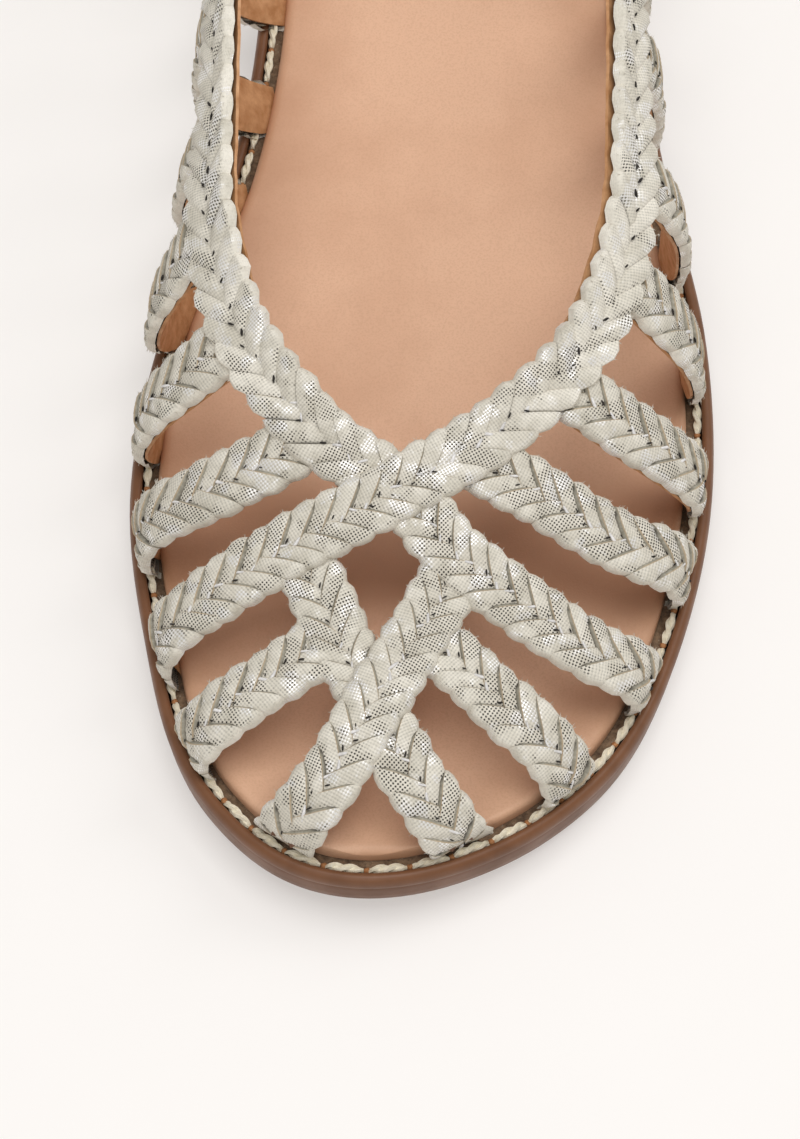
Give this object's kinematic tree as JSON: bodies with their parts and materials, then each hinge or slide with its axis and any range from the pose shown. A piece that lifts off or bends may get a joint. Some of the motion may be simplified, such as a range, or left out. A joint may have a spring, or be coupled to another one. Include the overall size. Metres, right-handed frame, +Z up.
{
  "type": "braided strap sandal",
  "caption": "Closed-toe flat sandal for the left foot: flat braided straps cross over toe and vamp and hang from the collar, on a padded insole and a moulded rubber sole.",
  "frame": {"origin": "centre of the bounding box's bottom face, on the floor under the sole", "axes": "+Z up, +Y from toe to heel along the sole, +X from the medial to the lateral side"},
  "size_m": [0.0924, 0.255, 0.0675],
  "materials": {
    "outsole": "brown moulded rubber with a soft sheen",
    "midsole": "dark felt board",
    "insole": "smooth tan-pink padded leather",
    "upper": "champagne-silver strips with a woven grain, braided flat"
  },
  "bodies": {
    "root": {"outsole": "outsole", "midsole": "midsole", "insole": "insole", "upper": "upper"}
  },
  "joints": []
}
